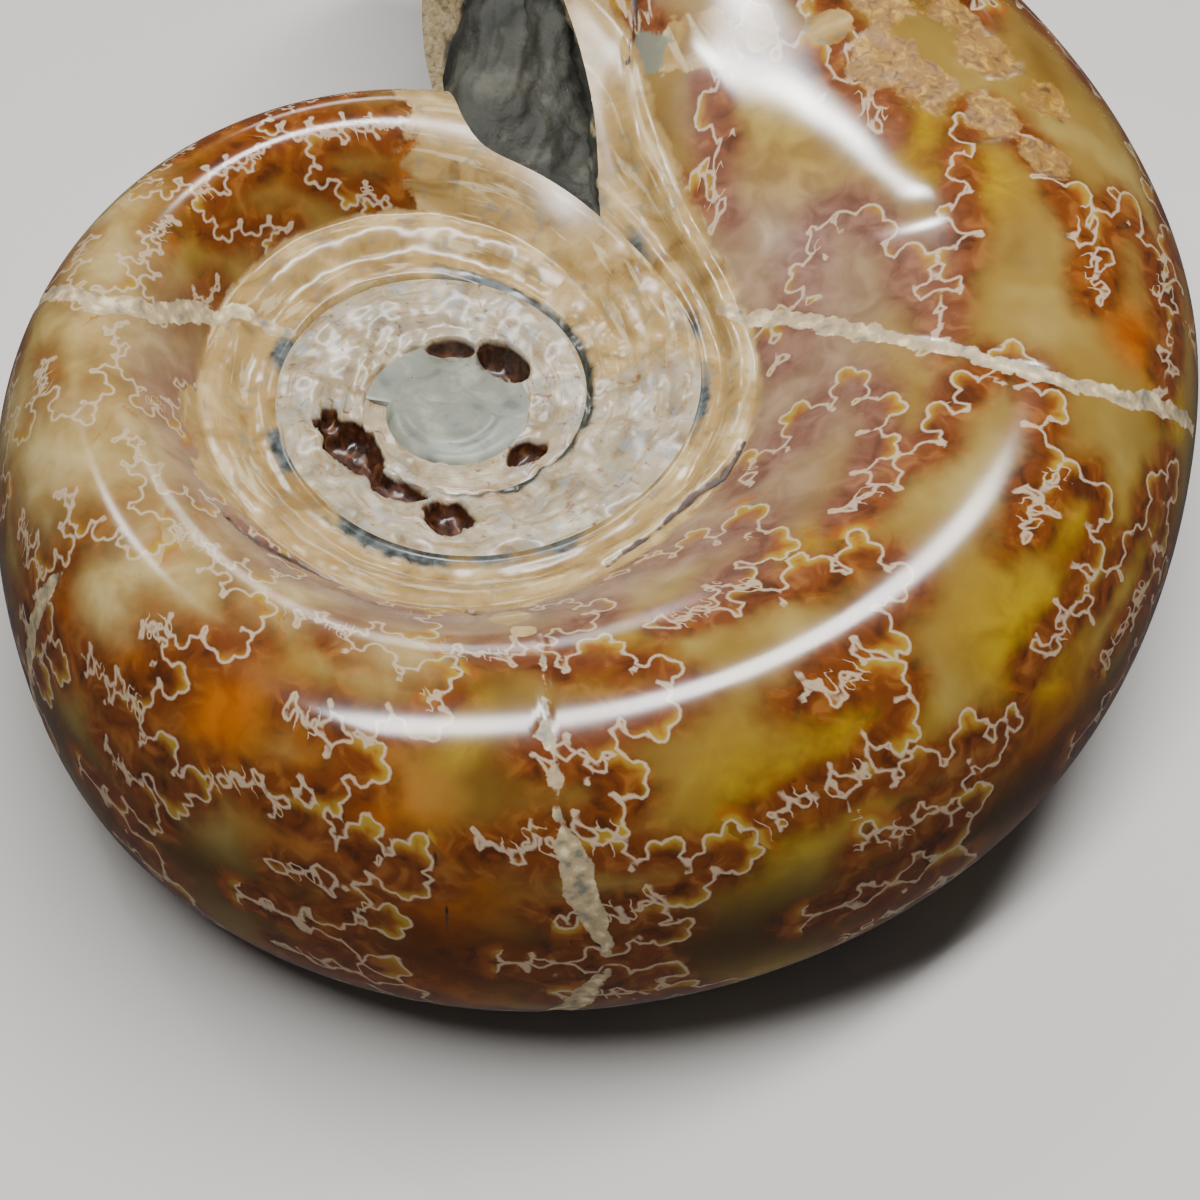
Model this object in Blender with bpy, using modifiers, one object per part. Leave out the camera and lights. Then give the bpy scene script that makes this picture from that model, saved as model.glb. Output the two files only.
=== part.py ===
"""A cleoniceras ammonite: a polished, calcite-filled fossil shell that lies on its flank.

The shell is one solid. Its skin is a spiral sheet, lofted through whorl sections that grow with the
angle, mirrored in the shell's median plane and closed by the plug of matrix in the umbilicus and by the
matrix face in the broken aperture.
"""
import math

import bmesh
import bpy
import numpy as np
from mathutils import Vector

NAME = "ammonite"
MM = 0.001

# The spiral, in millimetres at angles in degrees
# An angle is counted along the growth, counter-clockwise from above. 0 points along +X, and the same
# direction comes back every 360 degrees. The visible last whorl runs from -262 to the aperture.
START = -901.0
SEAM_END = 59.0
TURN = 360.0
APERTURE_FOOT = -262.0
VENTER = {-900: 6.6, -720: 9.6, -540: 13.0, -450: 16.5, -360: 20.0, -315: 22.6, -270: 24.2, -225: 24.8,
          -180: 27.0, -150: 29.0, -120: 32.5, -90: 35.4, -60: 38.1, -30: 41.5, 0: 44.7, 15: 46.9, 30: 48.4,
          45: 49.8, 60: 51.6, 90: 56.1, 100: 57.8}
SHOULDER = {-900: 4.9, -720: 5.6, -540: 6.8, -450: 8.4, -360: 9.8, -315: 11.3, -270: 13.4, -225: 14.8,
            -180: 15.2, -135: 15.8, -90: 17.0, -45: 17.2, 0: 17.9, 25: 17.5, 40: 18.0, 54: 20.0, 62: 22.3,
            70: 26.4, 80: 30.0, 100: 33.0}
SEAM = {-900: 4.15, -810: 4.2, -720: 4.4, -630: 4.8, -540: 5.4, -450: 6.8, -360: 7.8, -315: 8.5, -270: 9.1,
        -225: 10.0, -180: 10.6, -135: 11.4, -90: 12.7, -45: 13.5, 0: 14.6, 45: 15.0, 100: 16.8}
HALF_THICKNESS = {-900: 4.5, -810: 4.7, -720: 5.0, -630: 5.4, -540: 6.0, -450: 6.6, -360: 7.2, -301: 7.9,
                  -270: 9.6, -225: 11.4, -180: 12.3, -90: 13.4, 0: 14.5, 100: 15.7}
SEAM_RISE = {-900: 0.86, -720: 0.85, -540: 0.75, -450: 0.71, -360: 0.69, -270: 0.56, -180: 0.49, 100: 0.49}
SHOULDER_RISE = {-900: 0.9, -720: 0.88, -540: 0.81, -450: 0.78, -360: 0.76, -270: 0.63, -225: 0.59, 0: 0.59,
                 30: 0.61, 66: 0.7, 100: 0.74}
CREST_PLACE = 0.5
SHOULDER_ROUNDING = 0.9
VENTER_ROUNDING = 2.15

# Where the shoulder and the crest lie in a section, as a share of the way from the seam to the venter
SHOULDER_SHARE = 0.25
CREST_SHARE = 0.58

# The broken edge of the last whorl: its angle at shares of the way from the seam to the venter
BREAK_BEND_START = 14.0
BREAK = {0.0: 59.0, 0.06: 64.0, 0.12: 70.0, 0.18: 76.5, 0.25: 83.5, 0.33: 89.5, 0.41: 93.5, 0.58: 96.3,
         1.0: 95.5}
FACE_DEPTH = 4.0
FACE_STEEPNESS = 0.4
FACE_UNDERCUT = 0.7
FACE_UPRIGHT_SHARE = 0.5
FACE_CELLS = 5
MATRIX_RIM_POWER = 12

# Rows and columns of the loft
ROW_STEP = 7.5
FOOT_CELLS = 13
FOOT_POWER = 1.7
HIDDEN_CELLS = 11
HIDDEN_END = -181.0
COLUMN_SHARES = [0.0, 0.06, 0.12, 0.18, 0.25, 0.33, 0.41, 0.5, 0.58, 0.66, 0.75, 0.84, 0.92, 1.0]

# The matrix plug in the umbilicus
PLUG_RADIUS = 3.9
PLUG_HEIGHT = 4.3
PLUG_DOME = 0.35
PLUG_MIDDLE_RADIUS = 0.55
PLUG_MIDDLE_RISE = 0.3

# Broken-open inner chambers and the groove beside the plug: direction, radius and height of the centre,
# then the length along the whorl, the width across it and the depth
CHAMBER_PITS = {
    "left": (-147, 7.0, 5.4, 4.6, 2.6, 2.6),
    "left_tail": (-114, 7.4, 5.2, 3.6, 1.5, 1.6),
    "near": (-88, 9.1, 6.6, 2.4, 3.0, 2.6),
    "far": (97, 4.6, 4.6, 2.6, 1.1, 1.5),
    "far_right": (56, 4.6, 4.7, 3.2, 1.7, 2.2),
    "right": (-35, 5.5, 4.7, 2.2, 1.5, 1.8),
}

# How the shell lies: it leans on its lower flank until the surface touches under its centre of mass, and
# that lowest place is lapped to a flat
LEAN_X = 1.7
LEAN_Y = -0.4
CENTRE = (-9.10, -10.50, 14.04)
LAP_BLOCK_SIZE = 200.0

# Edges that turn more than this many degrees stay sharp
SHARP_EDGE = 35


def along(knots, angle):
    """The value at an angle on the smooth curve through the knots."""
    angles = np.array(list(knots), dtype=float)
    values = np.array(list(knots.values()), dtype=float)
    slopes = np.gradient(values, angles)
    i = int(np.clip(np.searchsorted(angles, angle) - 1, 0, len(angles) - 2))
    step = angles[i + 1] - angles[i]
    t = (angle - angles[i]) / step
    return float(
        values[i] * (1 + 2 * t) * (1 - t) ** 2
        + values[i + 1] * t * t * (3 - 2 * t)
        + slopes[i] * step * t * (1 - t) ** 2
        - slopes[i + 1] * step * t * t * (1 - t)
    )


def section(angle):
    """The radii and heights that shape the whorl at an angle."""
    venter = along(VENTER, angle)
    shoulder = along(SHOULDER, angle)
    height = along(HALF_THICKNESS, angle)
    return {
        "seam": along(SEAM, angle),
        "shoulder": shoulder,
        "crest": shoulder + CREST_PLACE * (venter - shoulder),
        "venter": venter,
        "height": height,
        "seam_height": along(SEAM_RISE, angle) * height,
        "shoulder_height": along(SHOULDER_RISE, angle) * height,
    }


def point_in_section(at, share):
    """Radius and height at a share of the way from the seam over the crest to the venter."""
    if share <= SHOULDER_SHARE:
        t = share / SHOULDER_SHARE
        radius = at["seam"] + (at["shoulder"] - at["seam"]) * t
        height = at["seam_height"] + (at["shoulder_height"] - at["seam_height"]) * t
    elif share <= CREST_SHARE:
        t = (share - SHOULDER_SHARE) / (CREST_SHARE - SHOULDER_SHARE)
        rise = math.sin(t * math.pi / 2) ** SHOULDER_ROUNDING
        radius = at["shoulder"] + (at["crest"] - at["shoulder"]) * t
        height = at["shoulder_height"] + (at["height"] - at["shoulder_height"]) * rise
    else:
        bend = (share - CREST_SHARE) / (1 - CREST_SHARE) * math.pi / 2
        radius = at["crest"] + (at["venter"] - at["crest"]) * math.sin(bend) ** (2 / VENTER_ROUNDING)
        height = at["height"] * max(math.cos(bend), 0.0) ** (2 / VENTER_ROUNDING)
    return radius, height


def share_at_radius(at, radius):
    """The share of the way from the seam to the venter where the section has this radius."""
    if radius <= at["crest"]:
        t = (radius - at["shoulder"]) / (at["crest"] - at["shoulder"])
        return SHOULDER_SHARE + (CREST_SHARE - SHOULDER_SHARE) * t
    reach = (radius - at["crest"]) / (at["venter"] - at["crest"])
    bend = math.asin(min(reach, 1.0) ** (VENTER_ROUNDING / 2))
    return CREST_SHARE + (1 - CREST_SHARE) * bend / (math.pi / 2)


def last_share(angle):
    """How far the skin of a row reaches before the next whorl or the aperture's matrix covers it."""
    seam_end = SEAM_END - TURN
    if angle > APERTURE_FOOT - 0.01:
        return 1.0
    if angle <= seam_end:
        return share_at_radius(section(angle), along(SEAM, angle + TURN))
    at_seam_end = share_at_radius(section(seam_end), along(SEAM, SEAM_END))
    t = (angle - seam_end) / (APERTURE_FOOT - seam_end)
    return at_seam_end + (1.0 - at_seam_end) * t ** MATRIX_RIM_POWER


def row_angle(angle, share):
    """A row's angle at a share: near the aperture the rows swing round to the broken edge."""
    swing = max(0.0, (angle - BREAK_BEND_START) / (SEAM_END - BREAK_BEND_START))
    return angle + swing * (along(BREAK, share) - SEAM_END)


def place(angle, radius, height):
    """The point at an angle in degrees, a radius and a height in millimetres."""
    turn = math.radians(angle)
    return Vector((radius * math.cos(turn), radius * math.sin(turn), height)) * MM


def row_angles():
    """The angles of all rows. Every turn has the same directions, so that the whorls share their seams."""
    seam_end = SEAM_END - TURN
    share_left = 1 - np.arange(FOOT_CELLS) / FOOT_CELLS
    foot = APERTURE_FOOT + (seam_end - APERTURE_FOOT) * share_left ** FOOT_POWER
    hidden = np.linspace(APERTURE_FOOT, HIDDEN_END, HIDDEN_CELLS + 1)[:-1]
    outer = np.arange(HIDDEN_END, SEAM_END - 0.01, ROW_STEP)
    turn = np.concatenate([foot, hidden, outer])
    angles = np.concatenate([turn - 2 * TURN, turn - TURN, turn, [SEAM_END]])
    return [float(angle) for angle in angles if angle > START - 0.01]


def seam_point(angle):
    """The point of the seam, which lies on the whorl before where there is one."""
    at = section(angle)
    if angle < START + TURN - 0.01:
        return place(angle, at["seam"], at["seam_height"])
    below = section(angle - TURN)
    height = point_in_section(below, share_at_radius(below, at["seam"]))[1]
    return place(angle, at["seam"], height)


def skin_point(angle, share):
    """The point of the skin in a row, at a share of the way from the seam to the venter."""
    true_angle = row_angle(angle, share)
    return place(true_angle, *point_in_section(section(true_angle), share))


def loft_spiral(mesh, angles):
    """The upper half of the spiral skin. Returns its rows of vertices, seam first."""
    seam = {round(angle, 2): mesh.verts.new(seam_point(angle)) for angle in angles}
    rows = []
    for angle in angles:
        reach = last_share(angle)
        outer_seam = seam.get(round(angle + TURN, 2))
        row = [seam[round(angle, 2)]]
        row += [mesh.verts.new(skin_point(angle, reach * share)) for share in COLUMN_SHARES[1:-1]]
        row.append(outer_seam or mesh.verts.new(skin_point(angle, reach)))
        rows.append(row)
    for row, next_row in zip(rows, rows[1:]):
        add_strip(mesh, next_row, row)
    return rows


def add_strip(mesh, one_side, other_side):
    """Faces between two rows of vertices. Where they share a vertex the face is a triangle."""
    for i in range(len(one_side) - 1):
        corners = [one_side[i], one_side[i + 1], other_side[i + 1], other_side[i]]
        mesh.faces.new(list(dict.fromkeys(corners)))


def loft_aperture_face(mesh, broken_edge, foot):
    """The hollowed matrix face between the last whorl's broken edge and the whorl it stands on."""
    previous = broken_edge
    for step in range(1, FACE_CELLS):
        t = step / FACE_CELLS
        row = [broken_edge[0]]
        for share, edge_vertex, foot_vertex in zip(COLUMN_SHARES[1:], broken_edge[1:], foot[1:]):
            point = edge_vertex.co.lerp(foot_vertex.co, t)
            gap = (edge_vertex.co - foot_vertex.co).length
            sideways = min(share / FACE_UPRIGHT_SHARE, 1.0)
            into_shell = Vector((point.y, -point.x, 0)).normalized() * sideways
            into_shell.z = sideways - 1.0
            hollow = min(FACE_DEPTH * MM, gap * FACE_STEEPNESS) * math.sin(math.pi * t ** FACE_UNDERCUT)
            row.append(mesh.verts.new(point + into_shell * hollow))
        add_strip(mesh, row, previous)
        previous = row
    add_strip(mesh, foot, previous)


def fill_plug(mesh, rim):
    """The slightly domed plug inside the innermost seam."""
    outer = rim
    for radius_share, rise_share in ((1.0, 0.0), (PLUG_MIDDLE_RADIUS, PLUG_MIDDLE_RISE)):
        ring = []
        for vertex in rim:
            direction = Vector((vertex.co.x, vertex.co.y, 0)).normalized()
            height = PLUG_HEIGHT + PLUG_DOME * rise_share
            point = direction * PLUG_RADIUS * radius_share * MM
            ring.append(mesh.verts.new(point + Vector((0, 0, height * MM))))
        add_ring(mesh, outer, ring)
        outer = ring
    middle = mesh.verts.new((0, 0, (PLUG_HEIGHT + PLUG_DOME) * MM))
    for i, vertex in enumerate(outer):
        mesh.faces.new([middle, vertex, outer[(i + 1) % len(outer)]])


def add_ring(mesh, outer, inner):
    """Faces between two closed rings of vertices."""
    for i in range(len(outer)):
        j = (i + 1) % len(outer)
        mesh.faces.new([outer[i], outer[j], inner[j], inner[i]])


def shell_mesh():
    """The upper half of the shell, open at the median plane.

    Every face is built by hand here because the skin is a loft between unlike sections.
    """
    angles = row_angles()
    mesh = bmesh.new()
    rows = loft_spiral(mesh, angles)
    foot_start = next(i for i, angle in enumerate(angles) if angle > SEAM_END - TURN - 0.01)
    foot = [row[-1] for row in rows[foot_start:foot_start + FOOT_CELLS + 1]]
    loft_aperture_face(mesh, rows[-1], foot)
    first_turn = [row[0] for angle, row in zip(angles, rows) if angle < START + TURN - 0.01]
    fill_plug(mesh, first_turn + rows[0][:0:-1])
    for vertex in mesh.verts:
        if abs(vertex.co.z) < 1e-7:
            vertex.co.z = 0.0
    bmesh.ops.recalc_face_normals(mesh, faces=mesh.faces)
    half = bpy.data.meshes.new(NAME)
    mesh.to_mesh(half)
    mesh.free()
    return half


def polished_calcite():
    """Amber-brown calcite with a polish."""
    material = bpy.data.materials.new("polished_calcite")
    material.use_nodes = True
    shader = material.node_tree.nodes["Principled BSDF"]
    shader.inputs["Base Color"].default_value = (0.30, 0.13, 0.03, 1.0)
    shader.inputs["Roughness"].default_value = 0.18
    shader.inputs["Metallic"].default_value = 0.0
    return material


def add_collection(name):
    """A new collection in the scene."""
    collection = bpy.data.collections.new(name)
    bpy.context.scene.collection.children.link(collection)
    return collection


def move_to(collection, obj):
    """Puts an object in one collection only."""
    for other in list(obj.users_collection):
        other.objects.unlink(obj)
    collection.objects.link(obj)


def mark_as_cutter(obj, collection):
    """A cutter shapes the shell and is no part of it."""
    move_to(collection, obj)
    obj.hide_render = True
    obj.display_type = "WIRE"


def cut(shell, cutter):
    """Cuts the cutter's shape out of the shell."""
    modifier = shell.modifiers.new("cut_" + cutter.name, "BOOLEAN")
    modifier.operation = "DIFFERENCE"
    modifier.object = cutter


def add_pit(name, shell, collection):
    """An egg-shaped cutter for one broken-open chamber, set in the shell's own frame."""
    direction, radius, height, length, width, depth = CHAMBER_PITS[name]
    bpy.ops.mesh.primitive_ico_sphere_add(subdivisions=2, radius=1.0)
    pit = bpy.context.object
    pit.name = "pit_" + name
    pit.parent = shell
    pit.location = place(direction, radius, height)
    pit.rotation_euler = (0, 0, math.radians(direction + 90))
    pit.scale = Vector((length / 2, width / 2, depth)) * MM
    mark_as_cutter(pit, collection)
    return pit


def add_lap(collection):
    """The block whose top is the surface that the shell was lapped on."""
    size = LAP_BLOCK_SIZE * MM
    bpy.ops.mesh.primitive_cube_add(size=size, location=(0, 0, -size / 2))
    lap = bpy.context.object
    lap.name = "lap"
    mark_as_cutter(lap, collection)
    return lap


def main():
    """Builds the ammonite in an emptied scene."""
    for obj in list(bpy.data.objects):
        bpy.data.objects.remove(obj)
    parts = add_collection("cleoniceras_ammonite")
    cutters = add_collection("cutters")

    shell = bpy.data.objects.new(NAME, shell_mesh())
    parts.objects.link(shell)
    shell.data.materials.append(polished_calcite())
    shell.location = Vector(CENTRE) * MM
    shell.rotation_euler = (math.radians(LEAN_X), math.radians(LEAN_Y), 0)
    mirror = shell.modifiers.new("other_half", "MIRROR")
    mirror.use_axis = (False, False, True)
    mirror.merge_threshold = 1e-6
    for name in CHAMBER_PITS:
        cut(shell, add_pit(name, shell, cutters))
    cut(shell, add_lap(cutters))
    shell.data.shade_smooth()
    shell.data.set_sharp_from_angle(angle=math.radians(SHARP_EDGE))


main()
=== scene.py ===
"""The looks of a cleoniceras ammonite: polished calcite chambers with frilled sutures, nacre and matrix."""
import math

import bpy
import numpy as np
from mathutils import Euler, Matrix, Vector, noise
from mathutils.kdtree import KDTree


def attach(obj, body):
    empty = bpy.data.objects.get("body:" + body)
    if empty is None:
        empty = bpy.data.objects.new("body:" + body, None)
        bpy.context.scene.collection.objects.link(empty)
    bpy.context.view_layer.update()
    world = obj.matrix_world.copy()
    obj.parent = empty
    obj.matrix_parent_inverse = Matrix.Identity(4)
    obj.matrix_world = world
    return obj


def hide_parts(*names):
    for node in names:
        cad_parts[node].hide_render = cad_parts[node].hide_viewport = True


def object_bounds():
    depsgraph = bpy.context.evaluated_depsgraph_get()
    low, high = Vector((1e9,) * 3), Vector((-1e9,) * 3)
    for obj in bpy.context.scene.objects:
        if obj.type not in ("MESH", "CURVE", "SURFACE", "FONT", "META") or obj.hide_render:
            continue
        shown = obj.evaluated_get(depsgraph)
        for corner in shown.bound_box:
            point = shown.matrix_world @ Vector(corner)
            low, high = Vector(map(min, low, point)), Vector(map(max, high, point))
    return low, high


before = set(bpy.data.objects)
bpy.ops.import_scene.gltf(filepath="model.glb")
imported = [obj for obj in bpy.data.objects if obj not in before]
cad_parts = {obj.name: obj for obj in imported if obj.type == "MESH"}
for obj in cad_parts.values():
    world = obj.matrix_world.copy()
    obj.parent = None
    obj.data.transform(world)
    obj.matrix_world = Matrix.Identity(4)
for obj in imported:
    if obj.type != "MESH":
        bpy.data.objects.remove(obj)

CAD_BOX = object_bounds()
MM = 0.001

# The spiral, repeated from the part's source: millimetres at angles in degrees
# An angle is counted along the growth, counter-clockwise from above, and 0 points along +X.
START = -901.0
SEAM_END = 59.0
TURN = 360.0
APERTURE_FOOT = -262.0
VENTER = {-900: 6.6, -720: 9.6, -540: 13.0, -450: 16.5, -360: 20.0, -315: 22.6, -270: 24.2, -225: 24.8,
          -180: 27.0, -150: 29.0, -120: 32.5, -90: 35.4, -60: 38.1, -30: 41.5, 0: 44.7, 15: 46.9, 30: 48.4,
          45: 49.8, 60: 51.6, 90: 56.1, 100: 57.8}
SHOULDER = {-900: 4.9, -720: 5.6, -540: 6.8, -450: 8.4, -360: 9.8, -315: 11.3, -270: 13.4, -225: 14.8,
            -180: 15.2, -135: 15.8, -90: 17.0, -45: 17.2, 0: 17.9, 25: 17.5, 40: 18.0, 54: 20.0, 62: 22.3,
            70: 26.4, 80: 30.0, 100: 33.0}
SEAM = {-900: 4.15, -810: 4.2, -720: 4.4, -630: 4.8, -540: 5.4, -450: 6.8, -360: 7.8, -315: 8.5, -270: 9.1,
        -225: 10.0, -180: 10.6, -135: 11.4, -90: 12.7, -45: 13.5, 0: 14.6, 45: 15.0, 100: 16.8}
HALF_THICKNESS = {-900: 4.5, -810: 4.7, -720: 5.0, -630: 5.4, -540: 6.0, -450: 6.6, -360: 7.2, -301: 7.9,
                  -270: 9.6, -225: 11.4, -180: 12.3, -90: 13.4, 0: 14.5, 100: 15.7}
SEAM_RISE = {-900: 0.86, -720: 0.85, -540: 0.75, -450: 0.71, -360: 0.69, -270: 0.56, -180: 0.49, 100: 0.49}
SHOULDER_RISE = {-900: 0.9, -720: 0.88, -540: 0.81, -450: 0.78, -360: 0.76, -270: 0.63, -225: 0.59, 0: 0.59,
                 30: 0.61, 66: 0.7, 100: 0.74}
CREST_PLACE = 0.5
SHOULDER_ROUNDING = 0.9
VENTER_ROUNDING = 2.15
SHOULDER_SHARE = 0.25
CREST_SHARE = 0.58
BREAK_BEND_START = 14.0
BREAK = {0.0: 59.0, 0.06: 64.0, 0.12: 70.0, 0.18: 76.5, 0.25: 83.5, 0.33: 89.5, 0.41: 93.5, 0.58: 96.3,
         1.0: 95.5}
MATRIX_RIM_POWER = 12
FOOT_POWER = 1.7
FACE_DEPTH = 4.0
FACE_STEEPNESS = 0.4
FACE_UNDERCUT = 0.7
FACE_UPRIGHT_SHARE = 0.5
PLUG_RADIUS = 3.9
PLUG_HEIGHT = 4.3
PLUG_DOME = 0.35
LEAN_X = 1.7
LEAN_Y = -0.4
CENTRE = (-9.10, -10.50, 14.04)

# The fine mesh: cells from the seam to the venter, and degrees between rows
INNER_CELLS = 36
INNER_STEP = 2.0
UPPER_CELLS = 112
UPPER_STEP = 0.58
LOWER_CELLS = 60
LOWER_STEP = 1.0
FACE_CELLS = 40
PLUG_RINGS = 14

# The last chambers' inner flank sags by this many millimetres, from an angle on over a run of degrees
SAG = 0.7
SAG_START = -10.0
SAG_RUN = 45.0
SAG_SKEW = 0.8

# A faint ridge crosses the sagging flank: its shares at angles, then its height in millimetres
RIDGE = {17: 0.59, 20: 0.535, 28: 0.47, 37: 0.43, 47: 0.39, 58: 0.345, 67: 0.3, 76: 0.26}
RIDGE_HEIGHT = 0.45
RIDGE_WIDTH = 0.09
RIDGE_START = 8.0
RIDGE_RUN = 14.0
RIDGE_FADE = 1 / 3

# The materials' slots on the meshes
CALCITE, MATRIX, PLUG, NACRE = range(4)


def along(knots, angle):
    """The value at each angle on the smooth curve through the knots."""
    angles = np.array(list(knots), dtype=float)
    values = np.array(list(knots.values()), dtype=float)
    slopes = np.gradient(values, angles)
    i = np.clip(np.searchsorted(angles, angle) - 1, 0, len(angles) - 2)
    step = angles[i + 1] - angles[i]
    t = (angle - angles[i]) / step
    start = values[i] * (1 + 2 * t) * (1 - t) ** 2 + slopes[i] * step * t * (1 - t) ** 2
    return start + values[i + 1] * t * t * (3 - 2 * t) - slopes[i + 1] * step * t * t * (1 - t)


def section(angle):
    """The radii and heights that shape the whorl at each angle."""
    venter = along(VENTER, angle)
    shoulder = along(SHOULDER, angle)
    height = along(HALF_THICKNESS, angle)
    return {
        "seam": along(SEAM, angle),
        "shoulder": shoulder,
        "crest": shoulder + CREST_PLACE * (venter - shoulder),
        "venter": venter,
        "height": height,
        "seam_height": along(SEAM_RISE, angle) * height,
        "shoulder_height": along(SHOULDER_RISE, angle) * height,
    }


def point_in_section(at, share):
    """Radii and heights at shares of the way from the seam over the crest to the venter."""
    wall = np.clip(share / SHOULDER_SHARE, 0, 1)
    climb = np.clip((share - SHOULDER_SHARE) / (CREST_SHARE - SHOULDER_SHARE), 0, 1)
    bend = np.clip((share - CREST_SHARE) / (1 - CREST_SHARE), 0, 1) * math.pi / 2
    wall_height = at["seam_height"] + (at["shoulder_height"] - at["seam_height"]) * wall
    rise = np.sin(climb * math.pi / 2) ** SHOULDER_ROUNDING
    flank_height = at["shoulder_height"] + (at["height"] - at["shoulder_height"]) * rise
    radius = at["seam"] + (at["shoulder"] - at["seam"]) * wall + (at["crest"] - at["shoulder"]) * climb
    radius = radius + (at["venter"] - at["crest"]) * np.sin(bend) ** (2 / VENTER_ROUNDING)
    outer_height = at["height"] * np.maximum(np.cos(bend), 0) ** (2 / VENTER_ROUNDING)
    height = np.where(share <= SHOULDER_SHARE, wall_height, flank_height)
    return radius, np.where(share > CREST_SHARE, outer_height, height)


def share_at_radius(at, radius):
    """The share of the way from the seam to the venter where each section has this radius."""
    climb = (radius - at["shoulder"]) / (at["crest"] - at["shoulder"])
    reach = np.clip((radius - at["crest"]) / (at["venter"] - at["crest"]), 0, 1)
    bend = np.arcsin(reach ** (VENTER_ROUNDING / 2))
    inner = SHOULDER_SHARE + (CREST_SHARE - SHOULDER_SHARE) * climb
    return np.where(climb <= 1, inner, CREST_SHARE + (1 - CREST_SHARE) * bend / (math.pi / 2))


def last_share(angle):
    """How far the skin of a row reaches before the next whorl or the aperture's matrix covers it."""
    seam_end = SEAM_END - TURN
    before = share_at_radius(section(angle), along(SEAM, np.minimum(angle + TURN, SEAM_END)))
    at_seam_end = share_at_radius(section(np.array([seam_end])), along(SEAM, np.array([SEAM_END])))
    t = np.clip((angle - seam_end) / (APERTURE_FOOT - seam_end), 0, 1)
    beside_face = at_seam_end + (1.0 - at_seam_end) * t ** MATRIX_RIM_POWER
    return np.where(angle <= seam_end + 0.001, before, beside_face)


def row_angle(angle, share):
    """A row's angle at a share: near the aperture the rows swing round to the broken edge."""
    swing = np.maximum(0.0, (angle - BREAK_BEND_START) / (SEAM_END - BREAK_BEND_START))
    return angle + swing * (along(BREAK, share) - SEAM_END)


def polar(angle, radius, height):
    """Points in millimetres from angles in degrees, radii and heights."""
    turn = np.radians(angle)
    return np.stack([radius * np.cos(turn), radius * np.sin(turn), height], axis=-1)


def seam_height(angle, radius):
    """The height of the seam, which lies on the whorl before where there is one."""
    below = section(angle - TURN)
    own = section(angle)["seam_height"]
    return np.where(angle < START + TURN, own, point_in_section(below, share_at_radius(below, radius))[1])


def flank_sag(angle, share):
    """How far the last chambers' inner flank sags below an even rise, less the faint ridge across it."""
    start = np.clip((angle - SAG_START) / SAG_RUN, 0, 1)
    across = np.clip((share - SHOULDER_SHARE) / (CREST_SHARE - SHOULDER_SHARE), 0, 1)
    sag = SAG * start * start * (3 - 2 * start) * np.sin(math.pi * across ** SAG_SKEW) ** 2
    ridge_share = np.interp(angle, list(RIDGE), list(RIDGE.values()))
    ridge = np.exp(-((share - ridge_share) / RIDGE_WIDTH) ** 2)
    ridge = ridge * np.clip((angle - RIDGE_START) / RIDGE_RUN, 0, 1)
    return sag - RIDGE_HEIGHT * ridge * np.clip(across / RIDGE_FADE, 0, 1)


def skin_grid(angles, shares):
    """Points, angles and shares of a stretch of the upper skin: a row for each angle, from the seam out."""
    reach = last_share(angles)
    share = reach[:, None] * shares[None, :]
    true_angle = row_angle(angles[:, None], share)
    radius, height = point_in_section(section(true_angle), share)
    height[:, -1] = np.where(reach >= 1, 0.0, height[:, -1])
    height[:, 0] = seam_height(angles, radius[:, 0])
    edge_radius = along(SEAM, np.minimum(angles + TURN, SEAM_END))
    on_next = angles + TURN <= SEAM_END
    height = height - flank_sag(true_angle, share)
    radius[:, -1] = np.where(on_next, edge_radius, radius[:, -1])
    return polar(true_angle, radius, height), true_angle, share


def foot_angles(shares):
    """The angles on the early whorl where the aperture's face comes down, for its columns' shares."""
    return APERTURE_FOOT + (SEAM_END - TURN - APERTURE_FOOT) * (1 - shares) ** FOOT_POWER


def face_grid(shares):
    """The hollowed matrix face between the last whorl's broken edge and the whorl it stands on."""
    edge, true_angle, _ = (grid[0] for grid in skin_grid(np.array([SEAM_END]), shares))
    foot = skin_grid(foot_angles(shares), shares)[0][:, -1]
    t = np.linspace(0, 1, FACE_CELLS + 1)[:, None]
    face = edge + (foot - edge) * t[..., None]
    gap = np.linalg.norm(edge - foot, axis=-1)
    sideways = np.minimum(shares / FACE_UPRIGHT_SHARE, 1.0)
    inward = np.stack([face[..., 1], -face[..., 0], np.zeros(face.shape[:2])], axis=-1)
    inward /= np.linalg.norm(inward, axis=-1, keepdims=True)
    inward *= sideways[None, :, None]
    inward[..., 2] = sideways - 1.0
    hollow = np.minimum(FACE_DEPTH, gap * FACE_STEEPNESS) * np.sin(math.pi * t ** FACE_UNDERCUT)
    return face + inward * hollow[..., None], np.tile(true_angle, (len(t), 1)), np.tile(t, (1, len(shares)))


def plug_grid():
    """The slightly domed plug inside the innermost seam and the coil's start, as rings round the middle."""
    angles = np.arange(START, START + TURN, INNER_STEP)
    seam = polar(angles, along(SEAM, angles), section(angles)["seam_height"])
    first_row = skin_grid(np.array([START]), np.linspace(0, 1, INNER_CELLS + 1))[0][0]
    rings = [np.concatenate([seam, first_row[::-1]])]
    angles = np.concatenate([angles, np.full(len(first_row), START + TURN)])
    for part in np.linspace(1, 0, PLUG_RINGS):
        height = np.full(len(angles), PLUG_HEIGHT + PLUG_DOME * (1 - part ** 2))
        rings.append(polar(angles, PLUG_RADIUS * part, height))
    shares = np.tile(np.linspace(0, -1, len(rings))[:, None], (1, len(angles)))
    return np.stack(rings), np.tile(angles, (len(rings), 1)), shares


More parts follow.
